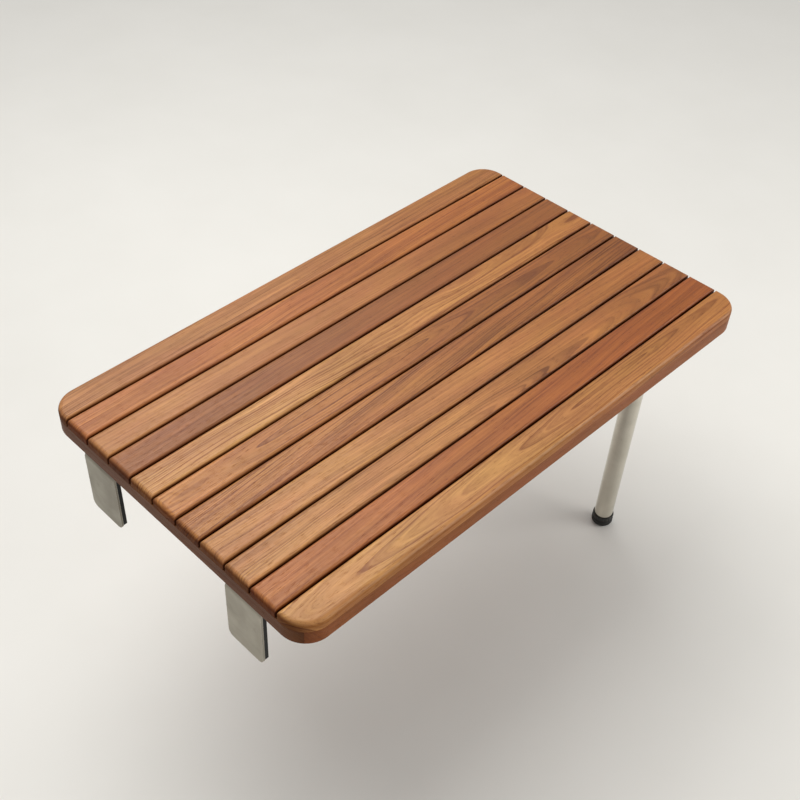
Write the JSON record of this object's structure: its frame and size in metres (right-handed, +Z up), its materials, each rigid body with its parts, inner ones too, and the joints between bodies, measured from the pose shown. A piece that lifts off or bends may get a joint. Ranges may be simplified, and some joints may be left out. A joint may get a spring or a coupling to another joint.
{
  "type": "slatted bathtub seat",
  "caption": "Slatted wooden bathtub seat with rubber-lined steel hooks for the tub's rim at one end and tubular steel legs with turn-to-level feet at the other.",
  "frame": {"origin": "middle of the seat's length and width, on the plane that the feet stand on with the feet screwed right in", "axes": "+X from the hook end towards the leg end, +Y towards the back side, +Z up"},
  "size_m": [0.699, 0.413, 0.398],
  "materials": {
    "teak_golden": "oiled satin",
    "teak_tan": "oiled satin",
    "teak_orange": "oiled satin",
    "teak_red": "oiled satin",
    "teak_frame": "oiled satin",
    "dowel_wood": "plain",
    "bracket_steel": "satin brushed",
    "leg_steel": "satin brushed",
    "screw_steel": "bright",
    "liner_rubber": "matte",
    "collar_nylon": "matte",
    "pad_rubber": "matte"
  },
  "bodies": {
    "seat": {"slat_01": "teak_golden", "slat_02": "teak_red", "slat_03": "teak_tan", "slat_04": "teak_orange", "slat_05": "teak_red", "slat_06": "teak_orange", "slat_07": "teak_golden", "slat_08": "teak_red", "slat_09": "teak_tan", "slat_10": "teak_orange", "slat_11": "teak_tan", "side_rail_front": "teak_frame", "side_rail_back": "teak_frame", "end_rail_hook": "teak_frame", "end_rail_leg": "teak_frame", "batten_hook": "teak_frame", "batten_middle": "teak_frame", "batten_leg": "teak_frame", "mitre_dowels": "dowel_wood", "batten_dowels": "dowel_wood", "slat_screws": "screw_steel", "bracket_screws": "screw_steel", "leg_screws": "screw_steel", "hook_bracket_front": "bracket_steel", "bracket_liner_front": "liner_rubber", "leg_flange_front": "leg_steel", "leg_tube_front": "leg_steel", "leg_insert_front": "screw_steel", "hook_bracket_back": "bracket_steel", "bracket_liner_back": "liner_rubber", "leg_flange_back": "leg_steel", "leg_tube_back": "leg_steel", "leg_insert_back": "screw_steel"},
    "foot_pad_front": {"foot_pad_front": "pad_rubber"},
    "foot_stem_front": {"foot_stem_front": "screw_steel", "foot_collar_front": "collar_nylon"},
    "foot_pad_back": {"foot_pad_back": "pad_rubber"},
    "foot_stem_back": {"foot_stem_back": "screw_steel", "foot_collar_back": "collar_nylon"}
  },
  "joints": [
    {"name": "foot_front_height", "type": "slide", "parent": "seat", "child": "foot_pad_front", "axis": [0, 0, -1], "range_m": [0, 0.015]},
    {"name": "foot_front_turn", "type": "hinge", "parent": "foot_pad_front", "child": "foot_stem_front", "pos_m": [0.2777, -0.1342, 0.0065], "axis": [0, 0, -1], "range_deg": [0, 3600]},
    {"name": "foot_back_height", "type": "slide", "parent": "seat", "child": "foot_pad_back", "axis": [0, 0, -1], "range_m": [0, 0.015]},
    {"name": "foot_back_turn", "type": "hinge", "parent": "foot_pad_back", "child": "foot_stem_back", "pos_m": [0.2777, 0.1342, 0.0065], "axis": [0, 0, -1], "range_deg": [0, 3600]}
  ],
  "couplings": [
    {"joint": "foot_front_turn", "follows": "foot_front_height", "rad_per_m": 4188.8},
    {"joint": "foot_back_turn", "follows": "foot_back_height", "rad_per_m": 4188.8}
  ]
}
